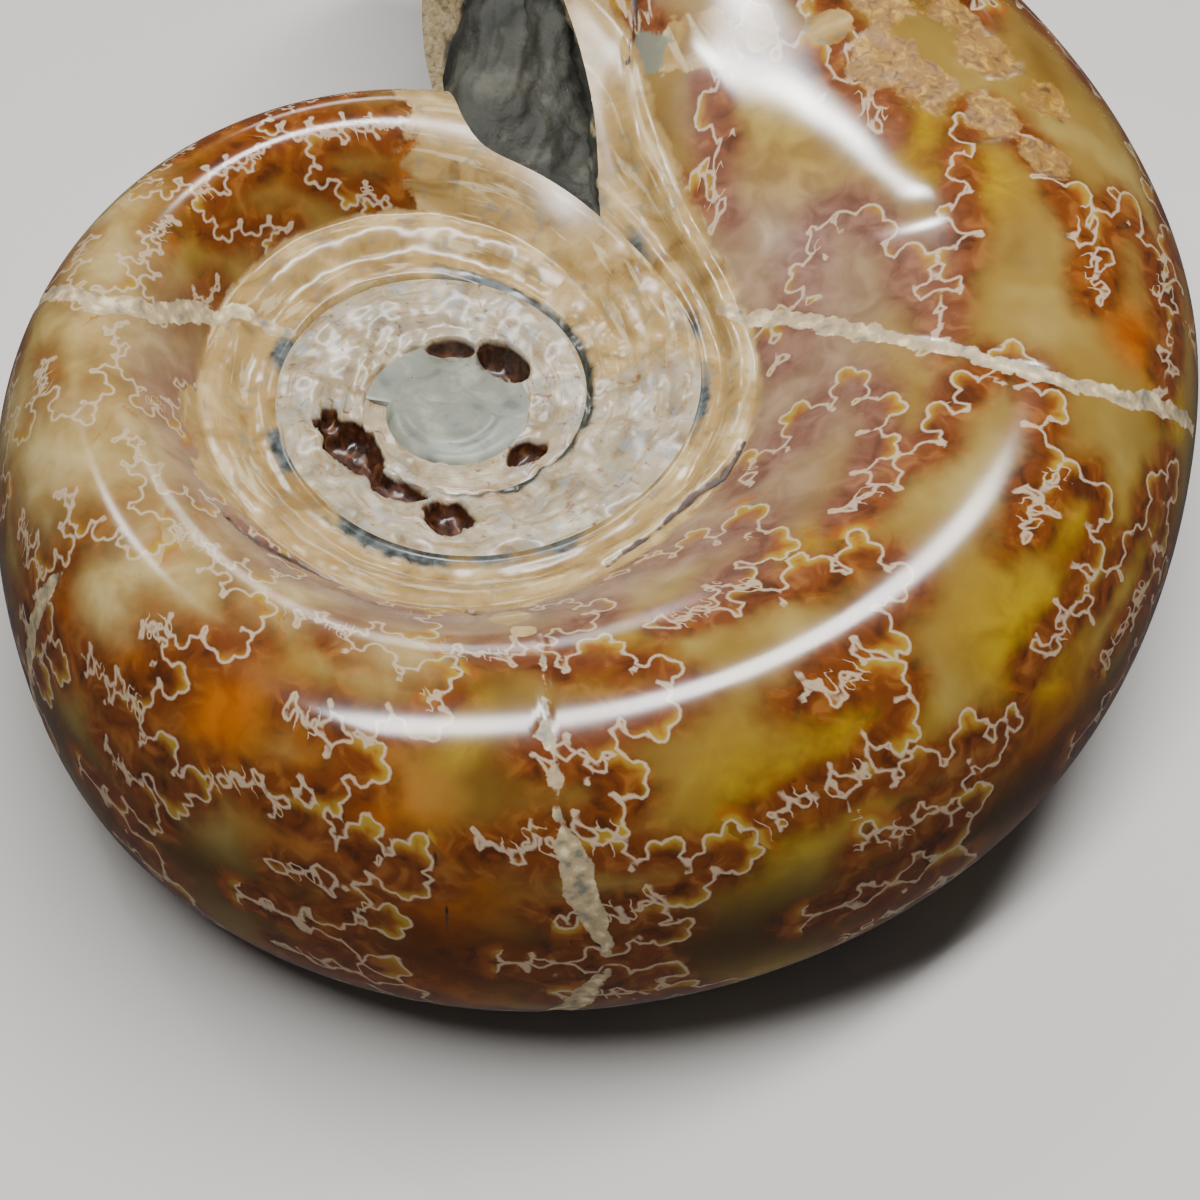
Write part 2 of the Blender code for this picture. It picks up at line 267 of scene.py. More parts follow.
# Where the septa meet the outer flank, in degrees, then how their folds run from the seam to the venter
SEPTA = [-272, -243, -217, -192, -166, -144, -122, -100, -74, -47, -18, 12, 47, 75, 100]
LOBES = {-0.1: -0.1, 0.12: -0.1, 0.29: -0.3, 0.5: -0.45, 0.69: -0.18, 0.82: -0.45, 0.915: -0.12, 1.0: -0.3}
SADDLES = [0.1, 0.25, 0.75, 0.8, 0.5, 0.75, 0.5]
SADDLE_ROUNDING = 0.75

# Orders of lobules on the sutures: millimetres from one to the next and their depth, on a flank this wide
LOBULES = [(3.4, 2.6), (1.5, 0.7)]
FLANK_WIDTH = 34.0
LOBULE_ROUNDING = 0.9
LOBULE_WIDTHS = (0.7, 1.35)
LOBULE_DEPTHS = (0.6, 1.3)
LOBULE_INSET = 0.45
SIDE_SMOOTHING = 0.35

# Where the lobules of neighbouring folds would overlap, their points are left out
CLEAR_PART = 0.93
CLEAR_SLACK = 0.03

# All sutures but the last are drawn, from below the shoulder on, with points this many millimetres apart
SUTURES = len(SEPTA) - 1
SUTURE_START = 0.22
SUTURE_SAMPLES = 240
SUTURE_SPACING = 0.06
SUTURE_SEED = 7


def fold(share):
    """How far a suture swings forward at a share: its lobes point back, and round saddles stand between."""
    phase = np.interp(share, list(LOBES), range(len(LOBES)))
    rise = np.array(SADDLES)[np.minimum(phase.astype(int), len(SADDLES) - 1)]
    lobe = np.interp(share, list(LOBES), list(LOBES.values()))
    return lobe + rise * np.abs(np.sin(math.pi * phase)) ** SADDLE_ROUNDING


def flank_points(angle, share):
    """Points in millimetres on the skin at angles and shares."""
    radius, height = point_in_section(section(angle), share)
    return polar(angle, radius, height - flank_sag(angle, share))


def nearest(course, points):
    """For each point, the number of the nearest point of a course and how far away it is."""
    tree = KDTree(len(course))
    for i, point in enumerate(course):
        tree.insert(point, i)
    tree.balance()
    found = [tree.find(point)[1:] for point in points]
    return np.array([item[0] for item in found]), np.array([item[1] for item in found])


def evenly_spaced(course, spacing):
    """The same course with its points this far apart."""
    steps = np.linalg.norm(np.diff(course, axis=0), axis=1)
    length = np.concatenate([[0], np.cumsum(steps)])
    at = np.arange(0, length[-1], spacing)
    return np.stack([np.interp(at, length, column) for column in course.T], axis=-1)


def forward_side(course, smooth):
    """Unit vectors to the aperture's side of a course, smoothed over this many points."""
    along_way = np.gradient(course, axis=0)
    window = np.ones(smooth) / smooth
    along_way = np.stack([np.convolve(column, window, mode="same") for column in along_way.T], axis=-1)
    forward = along_way[:, ::-1] * [1, -1]
    return forward / np.maximum(np.linalg.norm(forward, axis=1, keepdims=True), 1e-9)


def add_lobules(course, spacing, depth, random):
    """One order of frills: rounded lobules swell forward, with a sharp point back between each two."""
    course = evenly_spaced(course, SUTURE_SPACING)
    length = len(course) * SUTURE_SPACING
    widths = random.uniform(*LOBULE_WIDTHS, max(2, round(length / spacing)))
    edges = np.concatenate([[0], np.cumsum(widths)]) * length / widths.sum()
    at = np.arange(len(course)) * SUTURE_SPACING
    lobule = np.clip(np.searchsorted(edges, at, side="right") - 1, 0, len(widths) - 1)
    part = (at - edges[lobule]) / (edges[lobule + 1] - edges[lobule])
    heights = depth * random.uniform(*LOBULE_DEPTHS, len(widths))[lobule]
    swell = heights * np.sin(math.pi * np.clip(part, 0, 1)) ** LOBULE_ROUNDING - LOBULE_INSET * depth
    smooth = max(1, round(SIDE_SMOOTHING * spacing / SUTURE_SPACING))
    line = course + forward_side(course, smooth) * swell[:, None]
    flat = np.zeros((len(course), 1))
    clear = nearest(np.hstack([course, flat]), np.hstack([line, flat]))[1]
    return line[clear > CLEAR_PART * np.abs(swell) - CLEAR_SLACK]


def suture_course(number):
    """A suture's middle line and its frilled line, each as angles, shares and directions forward."""
    shares = np.linspace(SUTURE_START, 1.0, SUTURE_SAMPLES)
    centre = SEPTA[number]
    at = section(np.full(len(shares), float(centre)))
    radius, height = point_in_section(at, shares)
    across = np.concatenate([[0], np.cumsum(np.hypot(np.diff(radius), np.diff(height)))])
    swing = np.interp(number + fold(shares), range(len(SEPTA)), SEPTA) - centre
    middle = np.stack([np.radians(swing) * radius, across], axis=-1)
    size = across[-1] / FLANK_WIDTH
    random = np.random.default_rng(SUTURE_SEED + number)
    line = middle
    for spacing, depth in LOBULES:
        line = add_lobules(line, spacing * size, depth * size, random)
    courses = []
    for course in (middle, line):
        course = evenly_spaced(course, SUTURE_SPACING)
        share = np.interp(course[:, 1], across, shares)
        angle = centre + np.degrees(course[:, 0] / np.interp(course[:, 1], across, radius))
        courses.append((angle, share, forward_side(course, 3)))
    return courses


def signed_distance(courses, points):
    """Distances in millimetres from the nearest of some courses, positive on the aperture's side."""
    angle, share, forward = (np.concatenate(parts) for parts in zip(*courses))
    course = flank_points(angle, share)
    turn = np.radians(angle)
    round_way = np.stack([-np.sin(turn), np.cos(turn), np.zeros(len(turn))], axis=-1)
    further = flank_points(angle, np.minimum(share + 0.01, 1.0)) - flank_points(angle, share - 0.01)
    outward = further / np.linalg.norm(further, axis=1, keepdims=True)
    forward = round_way * forward[:, :1] + outward * forward[:, 1:]
    index, distance = nearest(course, points)
    side = np.sign(np.einsum("ij,ij->i", points - course[index], forward[index]))
    return distance * np.where(side == 0, 1, side)


# Veins and cracks that cross the flank: (angle, share, half width in mm) from the shoulder outward
VEINS = {
    "left": [(-198, 0.02, 0.3), (-198, 0.13, 0.35), (-196, 0.22, 0.5), (-190, 0.29, 0.7), (-181, 0.41, 0.65),
             (-178, 0.56, 0.6), (-184, 0.74, 0.5), (-188, 0.9, 0.5)],
    "right": [(20, 0.17, 0.3), (14, 0.27, 0.5), (10, 0.31, 0.6), (4, 0.38, 0.6), (0, 0.45, 0.45),
              (-4, 0.59, 0.5), (-4, 0.68, 0.5), (-3, 0.74, 0.6), (-1, 0.8, 0.6), (3, 0.93, 0.4)],
    "near": [(-74, 0.45, 0.04), (-75, 0.56, 0.08), (-76, 0.63, 0.12), (-76.5, 0.655, 0.38), (-76, 0.68, 0.3),
             (-76, 0.7, 0.1), (-76, 0.72, 0.35), (-76, 0.75, 0.1), (-76, 0.785, 0.15), (-75.5, 0.81, 0.7),
             (-75, 0.85, 0.95), (-73.5, 0.93, 0.75), (-72, 0.99, 0.2)],
    "far_left": [(-138.5, 0.77, 0.2), (-140, 0.84, 0.6), (-140.5, 0.93, 0.6), (-141, 1.0, 0.4)],
}
CRACKS = {
    "shoulder": [(-131, 0.34, 0.4), (-124, 0.32, 0.75), (-117, 0.285, 0.85), (-105, 0.27, 0.55),
                 (-94, 0.262, 0.3), (-86, 0.265, 0.25), (-82, 0.33, 0.16)],
    "slot": [(-54, 0.22, 0.14), (-42, 0.2, 0.16), (-29, 0.2, 0.22), (-23, 0.245, 0.2), (-14, 0.25, 0.12)],
    "dots": [(-88.5, 0.77, 0.0), (-87.5, 0.84, 0.06), (-86.5, 0.9, 0.02), (-86, 0.97, 0.0)],
    "at_face": [(69, 0.22, 0.15), (72, 0.3, 0.25)],
}
SAMPLES_PER_KNOT = 40

# Coloured places on the last whorl: (angle, share, radius in mm). They fade out by this many radii, below.
PATCHES = {
    "cream": [(-80, 0.22, 2.6), (-73, 0.24, 2.6), (-69, 0.17, 2.2), (-77, 0.36, 1.3), (-76, 0.43, 0.8),
              (-160, 0.2, 3.0), (-150, 0.17, 3.4), (-141, 0.2, 3.6), (-136, 0.12, 3.0), (-143, 0.28, 2.0),
              (61, 0.36, 2.6), (54, 0.44, 1.3), (48, 0.52, 1.6)],
    "rough": [(41, 0.55, 2.6), (35, 0.58, 2.4), (29, 0.62, 2.2), (23, 0.66, 1.8), (36, 0.66, 2.4),
              (30, 0.7, 2.0), (47, 0.6, 2.4), (42, 0.66, 2.0)],
    "yellow": [(-57, 0.83, 5.5), (-48, 0.78, 5.0), (-28, 0.8, 5.5), (-18, 0.78, 5.0), (-86, 0.64, 2.5),
               (-10, 0.9, 5.0), (0, 0.84, 3.0), (28, 0.5, 5.0), (35, 0.38, 5.0), (46, 0.42, 4.5),
               (22, 0.56, 4.0), (-206, 0.6, 4.0), (-163, 0.45, 4.5), (-176, 0.62, 3.5), (-122, 0.45, 3.0),
               (-148, 0.62, 3.0), (-66, 0.55, 3.0), (-38, 0.5, 3.0)],
    "olive": [(-150, 0.5, 6.5), (-153, 0.68, 6.0), (-176, 0.5, 6.0), (-128, 0.56, 5.0), (-112, 0.46, 3.5),
              (-92, 0.5, 3.5), (-202, 0.72, 4.5), (-130, 0.7, 3.0), (-188, 0.6, 4.5), (-166, 0.8, 4.5)],
    "amber": [(-96, 0.82, 6.0), (-112, 0.74, 5.0), (-122, 0.8, 5.0), (-88, 0.95, 6.0), (-135, 0.84, 4.0),
              (-212, 0.66, 4.0), (-232, 0.6, 4.0), (-196, 0.8, 4.0), (-30, 0.9, 5.0), (4, 0.75, 3.0)],
    "green": [(70, 0.18, 1.6), (67, 0.27, 1.6), (-197, 0.17, 1.0), (64, 0.1, 1.8), (76, 0.33, 1.0)],
}
PATCH_REACH = 1.3


def line_distance(lines, points):
    """Distances in millimetres from the nearest line, and that line's half width there."""
    course = []
    for line in lines.values():
        knots = np.array(line, dtype=float)
        t = np.linspace(0, len(knots) - 1, SAMPLES_PER_KNOT * len(knots))
        course.append(np.stack([np.interp(t, range(len(knots)), column) for column in knots.T], axis=-1))
    course = np.concatenate(course)
    index, distance = nearest(flank_points(course[:, 0], course[:, 1]), points)
    return distance, course[index, 2]


def patch_cover(name, points):
    """How near each point is to the places of a patch: 1 at their middles and 0 from their rims on."""
    cover = np.zeros(len(points))
    for angle, share, radius in PATCHES[name]:
        middle = flank_points(np.array([float(angle)]), np.array([share]))[0]
        away = np.linalg.norm(points - middle, axis=1) / radius
        cover = np.maximum(cover, np.clip(PATCH_REACH - away, 0, 1))
    return cover


# Broken-open inner chambers, a little wider than in the part's source: direction, radius and height of the
# centre, then the length along the whorl, the width across it and the depth
CHAMBER_PITS = {
    "left": (-147, 7.0, 5.4, 5.2, 3.2, 2.6),
    "left_tail": (-114, 7.4, 5.2, 3.8, 1.8, 1.6),
    "near": (-88, 9.1, 6.6, 2.8, 3.4, 2.6),
    "far": (97, 4.6, 4.6, 2.8, 1.3, 1.5),
    "far_right": (56, 4.6, 4.7, 3.4, 2.0, 2.2),
    "right": (-35, 5.5, 4.7, 2.6, 1.9, 1.8),
}
PIT_LUMP = 0.9
PIT_RAGGEDNESS = 0.45
PIT_WIDENING = 0.25
PIT_STEEPNESS = 0.7


def lumps(points, size):
    """Smooth noise from about -1 to 1 whose lumps are about this many millimetres wide."""
    return np.array([noise.noise(Vector(point) / size) for point in points])


def sink_pits(points):
    """Sinks the points in the broken-open chambers. Returns how far each one sank."""
    sunk = np.zeros(len(points))
    ragged = lumps(points, PIT_LUMP) * PIT_RAGGEDNESS - PIT_WIDENING
    for direction, radius, height, length, width, depth in CHAMBER_PITS.values():
        turn = math.radians(direction)
        outward = points[:, 0] * math.cos(turn) + points[:, 1] * math.sin(turn) - radius
        sideways = points[:, 1] * math.cos(turn) - points[:, 0] * math.sin(turn)
        away = (outward / (width / 2)) ** 2 + (sideways / (length / 2)) ** 2 + ragged
        floor = height - depth * np.sqrt(np.clip(1 - away, 0, 1)) ** PIT_STEEPNESS
        sunk = np.maximum(sunk, np.where(away < 1, points[:, 2] - floor, 0))
    points[:, 2] -= sunk
    return sunk


# Relief in millimetres: the lumps' widths, then the depths and slopes of cracks and veins
WIDE_LUMP = 3.0
FINE_LUMP = 0.8
CRACK_DEPTH = 0.5
CRACK_SLOPE = 0.25
DEEP_CRACK_HALF_WIDTH = 0.4
DEEPEST_CRACK = 1.2
VEIN_DEPTH = 0.1
VEIN_SLOPE = 0.2
ROUGH_HEIGHT = 0.3
ROUGH_SINK = 0.15

# The umbilical wall: where it ends, then its ledge and groove as heights in millimetres at shares
WALL_END = 0.26
WALL_FADE = 0.03
LEDGE_HEIGHT = 0.3
LEDGE_SHARE = 0.19
GROOVE_DEPTH = 0.35
GROOVE_SHARE = 0.09
LEDGE_WIDTH = 0.06

# The inner whorls' rubbed septa, which show as low ribs, and where their relief grows to its full height
RIBS_PER_TURN = 13
RIB_HEIGHT = 0.3
RIB_SHARPNESS = 6
FULL_RELIEF_ANGLE = -580.0
RELIEF_RUN = 60.0
LEAST_RELIEF = 0.6

# The curved ridge on the plug: its middle and radius, where it stops, and its height
PLUG_RIDGE_MIDDLE = (-0.3, -0.2)
PLUG_RIDGE_RADIUS = 2.6
PLUG_RIDGE_WIDTH = 0.5
PLUG_RIDGE_END = -0.6
PLUG_RIDGE_HEIGHT = 0.25

# Relief fades out over this part of each grid's width, so that the grids still meet
EDGE_FADE = 0.06


def hump(value, middle, width):
    """1 at the middle, falling smoothly to 0 this far from it."""
    return np.clip(1 - ((value - middle) / width) ** 2, 0, 1) ** 2


def wall_relief(shares, wide, fine):
    """The ledge, the groove and the lumps of the umbilical wall."""
    ledge = LEDGE_HEIGHT * hump(shares, LEDGE_SHARE, LEDGE_WIDTH)
    groove = GROOVE_DEPTH * hump(shares, GROOVE_SHARE, LEDGE_WIDTH)
    return np.clip((WALL_END - shares) / WALL_FADE, 0, 1) * (ledge - groove + 0.3 * wide + 0.05 * fine)


def flank_relief(points, fine):
    """The grooves of the cracks and veins, and the rough unpolished places."""
    crack, crack_width = line_distance(CRACKS, points)
    vein, vein_width = line_distance(VEINS, points)
    full_depth = CRACK_DEPTH * np.minimum(crack_width / DEEP_CRACK_HALF_WIDTH, DEEPEST_CRACK)
    grooves = full_depth * hump(crack, 0, crack_width + CRACK_SLOPE)
    grooves += VEIN_DEPTH * hump(vein, 0, vein_width + VEIN_SLOPE)
    rough = np.minimum(patch_cover("rough", points) * 2, 1)
    return rough * (ROUGH_HEIGHT * fine - ROUGH_SINK) - grooves


def inner_relief(angles, wide, fine):
    """The lumps and the ribs of the inner whorls."""
    grown = np.clip((angles - FULL_RELIEF_ANGLE) / RELIEF_RUN + 1, LEAST_RELIEF, 1)
    ribs = np.abs(np.sin(np.radians(angles) * RIBS_PER_TURN / 2)) ** RIB_SHARPNESS
    return grown * (0.5 * wide + 0.26 * fine + RIB_HEIGHT * ribs)


def plug_relief(points, wide):
    """The soft lumps and the curved ridge of the plug."""
    from_middle = np.linalg.norm(points[:, :2] - PLUG_RIDGE_MIDDLE, axis=1)
    ridge = hump(from_middle, PLUG_RIDGE_RADIUS, PLUG_RIDGE_WIDTH) * (points[:, 1] < PLUG_RIDGE_END)
    return 0.12 * wide + PLUG_RIDGE_HEIGHT * ridge


def relief(points, angles, shares, inside, kinds):
    """How far each point stands out of the plain form, in millimetres."""
    wide = lumps(points, WIDE_LUMP)
    fine = lumps(points, FINE_LUMP)
    out = (kinds == CALCITE) * (wall_relief(shares, wide, fine) + flank_relief(points, fine))
    out += (kinds == NACRE) * inner_relief(angles, wide, fine)
    out += (kinds == MATRIX) * (0.9 * wide + 0.35 * fine)
    out += (kinds == PLUG) * plug_relief(points, wide)
    return out * np.clip(inside / EDGE_FADE, 0, 1)


class Surface:
    """Collects the grids of one half of the fossil."""

    def __init__(self):
        self.parts = []
        self.count = 0

    def add(self, grid, material):
        """Adds a grid of points, angles and shares, all of one material, with its faces pointing out."""
        points, angles, shares = grid
        rows, columns = shares.shape
        index = self.count + np.arange(shares.size).reshape(rows, columns)
        faces = np.stack([index[:-1, :-1], index[:-1, 1:], index[1:, 1:], index[1:, :-1]], axis=-1)
        row = np.minimum(np.arange(rows), np.arange(rows)[::-1])[:, None] / rows
        column = np.minimum(np.arange(columns), np.arange(columns)[::-1])[None, :] / columns
        inside = np.minimum(row * 2, column)
        kinds = np.full(shares.size, material)
        self.parts.append((points.reshape(-1, 3), angles.ravel(), shares.ravel(), inside.ravel(), kinds,
                           faces.reshape(-1, 4)))
        self.count += shares.size

    def joined(self):
        """Points, angles, shares, how far inside its grid each point lies, materials and faces."""
        return [np.concatenate(arrays) for arrays in zip(*self.parts)]


def to_world(points):
    """Points in metres in the row frame, from millimetres in the shell's frame."""
    turn = np.array(Euler((math.radians(LEAN_X), math.radians(LEAN_Y), 0)).to_matrix())
    world = (points @ turn.T + np.array(CENTRE)) * MM
    return np.clip(world, np.array(CAD_BOX[0]), np.array(CAD_BOX[1]))


# Matrix in the aperture stays this far above the lapped flat, so that it doesn't lie in the shell's own plane
MATRIX_LIFT = 0.2 * MM


def shaped_points(surface, lower):
    """A half's points with their relief, in metres in the row frame, and how far each sank into a pit."""
    points, angles, shares, inside, kinds, faces = surface.joined()
    plain = bpy.data.meshes.new("plain_form")
    plain.from_pydata(points.tolist(), [], faces.tolist())
    normals = np.zeros(len(points) * 3)
    plain.vertices.foreach_get("normal", normals)
    bpy.data.meshes.remove(plain)
    placed = points + normals.reshape(-1, 3) * relief(points, angles, shares, inside, kinds)[:, None]
    sunk = np.zeros(len(points)) if lower else sink_pits(placed)
    placed = to_world(placed * [1, 1, -1] if lower else placed)
    lift = MATRIX_LIFT * (kinds == MATRIX) * np.clip(inside / EDGE_FADE, 0, 1)
    placed[:, 2] = np.maximum(placed[:, 2], lift)
    return placed, sunk


def surface_marks(points):
    """What the materials read about the sutures, veins, cracks and patches, as names and values."""
    marks = {name: patch_cover(name, points) for name in PATCHES}
    sutures = [suture_course(number) for number in range(SUTURES)]
    for order, name in enumerate(("fold", "suture")):
        distance = signed_distance([courses[order] for courses in sutures], points)
        marks[name + "_distance"] = distance
        marks[name + "_away"] = np.abs(distance)
    for name, lines in (("vein", VEINS), ("crack", CRACKS)):
        marks[name + "_distance"], marks[name + "_half_width"] = line_distance(lines, points)
    return marks


def build_half(name, cells, step, lower=False):
    """Half of the shell: its last whorl, the inner whorls, half the aperture's face and the plug."""
    surface = Surface()
    seam_end = SEAM_END - TURN
    inner_angles = np.append(np.arange(START, seam_end, INNER_STEP), seam_end)
    shares = np.linspace(0, 1, cells + 1)
    whorl_angles = np.arange(APERTURE_FOOT + step, SEAM_END - step / 2, step)
    whorl_angles = np.concatenate([foot_angles(shares), whorl_angles, [SEAM_END]])
    surface.add(skin_grid(inner_angles, np.linspace(0, 1, INNER_CELLS + 1)), NACRE)
    surface.add(skin_grid(whorl_angles, shares), CALCITE)
    surface.add(face_grid(shares), MATRIX)
    surface.add(plug_grid(), PLUG)

    placed, sunk = shaped_points(surface, lower)
    points, angles, shares, _, kinds, faces = surface.joined()
    mesh = bpy.data.meshes.new(name)
    mesh.from_pydata(placed.tolist(), [], (faces[:, ::-1] if lower else faces).tolist())
    mesh.polygons.foreach_set("material_index", kinds[faces[:, 0]])
    marks = {"whorl_share": shares, "whorl_angle": angles, "sunk": sunk, **surface_marks(points)}
    for mark, values in marks.items():
        mesh.attributes.new(mark, "FLOAT", "POINT").data.foreach_set("value", values)
    mesh.shade_smooth()
    half = bpy.data.objects.new(name, mesh)
    bpy.context.scene.collection.objects.link(half)
    return half


def linear(hex_colour):
    """A linear colour from an sRGB hex string."""
    parts = [int(hex_colour[i:i + 2], 16) / 255 for i in (1, 3, 5)]
    return tuple(v / 12.92 if v <= 0.04045 else ((v + 0.055) / 1.055) ** 2.4 for v in parts) + (1.0,)


def add_node(tree, kind, inputs=(), output=0, **settings):
    """One of a new node's outputs. Inputs are values or other outputs, by socket or in the sockets' order."""
    node = tree.nodes.new("ShaderNode" + kind)
    for name, value in settings.items():
        setattr(node, name, value)
    by_socket = inputs if isinstance(inputs, dict) else dict(enumerate(inputs))
    for socket, value in by_socket.items():
        if isinstance(value, bpy.types.NodeSocket):
            tree.links.new(value, node.inputs[socket])
        else:
            node.inputs[socket].default_value = value
    return node.outputs[output]


def read_marks(tree, *names):
    """What build_half stored on the points under each name."""
    return [add_node(tree, "Attribute", output="Fac", attribute_name=name) for name in names]


def place_in_mm(tree):
    """The place on the shell in millimetres."""
    place = add_node(tree, "TexCoord", output="Object")
    return add_node(tree, "VectorMath", {0: place, "Scale": 1 / MM}, operation="SCALE")


def mottle(tree, place, blot, detail=3.0, distortion=0.0):
    """Soft noise from 0 to 1 whose blots are about this many millimetres wide."""
    inputs = {"Vector": place, "Scale": 1 / blot, "Detail": detail, "Distortion": distortion}
    return add_node(tree, "TexNoise", inputs, noise_dimensions="3D")


def waver(tree, place, blot, detail, reach):
    """Noise round 0 that roughens an edge over this reach."""
    blots = mottle(tree, place, blot, detail)
    return add_node(tree, "Math", (blots, reach, -reach / 2), operation="MULTIPLY_ADD")


def soft_edge(tree, value, start, end, most=1.0):
    """How far a value has come on its way from start to end: 0 before, this much after, and soft between."""
    inputs = {"Value": value, "From Min": start, "From Max": end, "To Max": most}
    return add_node(tree, "MapRange", inputs, interpolation_type="SMOOTHSTEP")


def laid_over(tree, colour, *layers):
    """A colour with other colours laid over it, each of them where its cover is 1."""
    result = linear(colour) if isinstance(colour, str) else colour
    for layer, cover in layers:
        layer = linear(layer) if isinstance(layer, str) else layer
        result = add_node(tree, "Mix", {0: cover, 6: result, 7: layer}, output=2, data_type="RGBA")
    return result


# Most of a noise lies between these values
NOISE_START = 0.3
NOISE_END = 0.7


def blend_of(tree, value, *colours):
    """Colours spread evenly over a noise."""
    step = (NOISE_END - NOISE_START) / (len(colours) - 1)
    starts = [NOISE_START + step * i for i in range(len(colours) - 1)]
    covers = [soft_edge(tree, value, start, start + step) for start in starts]
    return laid_over(tree, colours[0], *zip(colours[1:], covers))


def new_material(name):
    """A material with its node tree and Principled shader."""
    material = bpy.data.materials.new(name)
    material.use_nodes = True
    return material, material.node_tree, material.node_tree.nodes["Principled BSDF"]


# The pale sutures and the edges of veins and cracks, in millimetres
SUTURE_HALF_WIDTH = 0.08
SUTURE_BLUR = 0.06
LINE_BLUR = 0.07

# Growth streaks: how many cross a degree of the whorl and its whole width
STREAKS_PER_DEGREE = 0.06
STREAKS_ACROSS = 34.0

# Reflection of calcite, and how rough its polish, its dull places and its wall are
CALCITE_IOR = 1.55
POLISH_ROUGHNESS = 0.08
HAZE_ROUGHNESS = 0.16
DULL_ROUGHNESS = 0.35
WALL_ROUGHNESS = 0.1


def painted_haze_part(tree, angle):
    """Where a mauve tint is painted as a hazy reflection near the shoulder: not on the earliest chambers, and
    less on the last.
    """
    late = soft_edge(tree, angle, 25.0, 50.0, most=0.8)
    return add_node(tree, "Math", (soft_edge(tree, angle, -200.0, -165.0), late), operation="SUBTRACT")


def chamber_colour(tree, place):
    """Calcite in the chambers: tan-olive, with places of amber and honey yellow, a painted hazy reflection in
    mauve near the shoulder, and painted shade darkening the rim towards the venter.
    """
    wide = mottle(tree, place, blot=9.0)
    fine = mottle(tree, place, blot=2.2, detail=5.0, distortion=0.6)
    amber, yellow, olive = read_marks(tree, "amber", "yellow", "olive")
    share, angle = read_marks(tree, "whorl_share", "whorl_angle")
    # Painted reflection: a mauve haze laid over the inner flank near the shoulder
    inner = add_node(tree, "Math", (wide, 0.16, share), operation="MULTIPLY_ADD")
    inner = soft_edge(tree, inner, 0.58, 0.42, most=0.8)
    mauve = add_node(tree, "Math", (inner, painted_haze_part(tree, angle)), operation="MULTIPLY")
    return laid_over(
        tree,
        blend_of(tree, wide, "#5f4416", "#7a6028", "#8f7a40"),
        (blend_of(tree, fine, "#7a3a04", "#9a5408"), amber),
        (blend_of(tree, fine, "#7a5c06", "#967a0c"), yellow),
        (blend_of(tree, fine, "#967f4a", "#ae9a68"), olive),
        # Painted shade: the rim towards the venter is darkened
        ("#2a1204", soft_edge(tree, share, 0.86, 1.0, most=0.8)),
        (blend_of(tree, fine, "#745c4a", "#907864"), mauve),
    )


def fold_colour(tree, place, colour):
    """Brown-red calcite between the folds of the septa, thin where it is olive, under a painted hazy
    reflection in mauve near the shoulder.
    """
    away, olive, share, angle = read_marks(tree, "fold_away", "olive", "whorl_share", "whorl_angle")
    away = add_node(tree, "Math", (mottle(tree, place, blot=3.0), 3.5, away), operation="MULTIPLY_ADD")
    clear = add_node(tree, "Math", (olive, -0.75, 1.0), operation="MULTIPLY_ADD")
    zone = add_node(tree, "Math", (soft_edge(tree, away, 4.7, 2.3), clear), operation="MULTIPLY")
    # Painted reflection: the mauve haze near the shoulder, also over the brown folds
    inner = soft_edge(tree, share, 0.6, 0.35, most=0.75)
    mauve = add_node(tree, "Math", (inner, painted_haze_part(tree, angle)), operation="MULTIPLY")
    fine = mottle(tree, place, blot=1.6, detail=5.0, distortion=0.8)
    brown = laid_over(
        tree,
        blend_of(tree, fine, "#42200c", "#60300f", "#7c4a1d"),
        (blend_of(tree, fine, "#66483a", "#806458"), mauve),
    )
    return laid_over(tree, colour, (brown, zone))


def tip_glow(tree, colour, suture):
    """Tips of the lobules turn orange and olive where the calcite is thin next to the septum."""
    across_fold, away = read_marks(tree, "fold_distance", "suture_away")
    side = add_node(tree, "Math", (suture,), operation="SIGN")
    across_fold = add_node(tree, "Math", (across_fold, side), operation="MULTIPLY")
    tip = soft_edge(tree, across_fold, -0.1, -1.3)
    orange = add_node(tree, "Math", (soft_edge(tree, away, 1.5, 0.1, most=0.85), tip), operation="MULTIPLY")
    olive = add_node(tree, "Math", (soft_edge(tree, away, 0.6, 0.1, most=0.7), tip), operation="MULTIPLY")
    return laid_over(tree, colour, ("#8a4a16", orange), ("#94852c", olive))


def suture_line(tree, suture):
    """Where the pale edge of a septum shows, as a thin line."""
    away, = read_marks(tree, "suture_away")
    line = add_node(tree, "Math", (suture,), operation="ABSOLUTE")
    line = soft_edge(tree, line, SUTURE_HALF_WIDTH + SUTURE_BLUR, SUTURE_HALF_WIDTH - SUTURE_BLUR, most=0.8)
    return add_node(tree, "Math", (line, soft_edge(tree, away, 0.6, 0.4)), operation="MULTIPLY")


def line_cover(tree, place, name, reach):
    """Where a vein or crack lies, its edges roughened over this many millimetres."""
    away, half_width = read_marks(tree, name + "_distance", name + "_half_width")
    away = add_node(tree, "Math", (away, waver(tree, place, 1.2, 4.0, reach)), operation="ADD")
    away = add_node(tree, "Math", (away, half_width), operation="SUBTRACT")
    return soft_edge(tree, away, LINE_BLUR, -LINE_BLUR)


def patch_edge(tree, name, ragged, full, most=1.0):
    """Where a patch lies, with a ragged edge. It covers fully from this nearness on."""
    near, = read_marks(tree, name)
    near = add_node(tree, "Math", (near, ragged), operation="ADD")
    return soft_edge(tree, near, 0.3, full, most)


def wall_cover(tree, ragged):
    """Where the umbilical wall and the bare start of the last whorl lie, with a ragged edge."""
    share, angle = read_marks(tree, "whorl_share", "whorl_angle")
    share = add_node(tree, "Math", (ragged, 0.03, share), operation="MULTIPLY_ADD")
    angle = add_node(tree, "Math", (ragged, 16.0, angle), operation="MULTIPLY_ADD")
    wall = soft_edge(tree, share, 0.262, 0.25)
    start = soft_edge(tree, angle, -254.0, -257.0)
    return add_node(tree, "Math", (wall, start), operation="MAXIMUM")


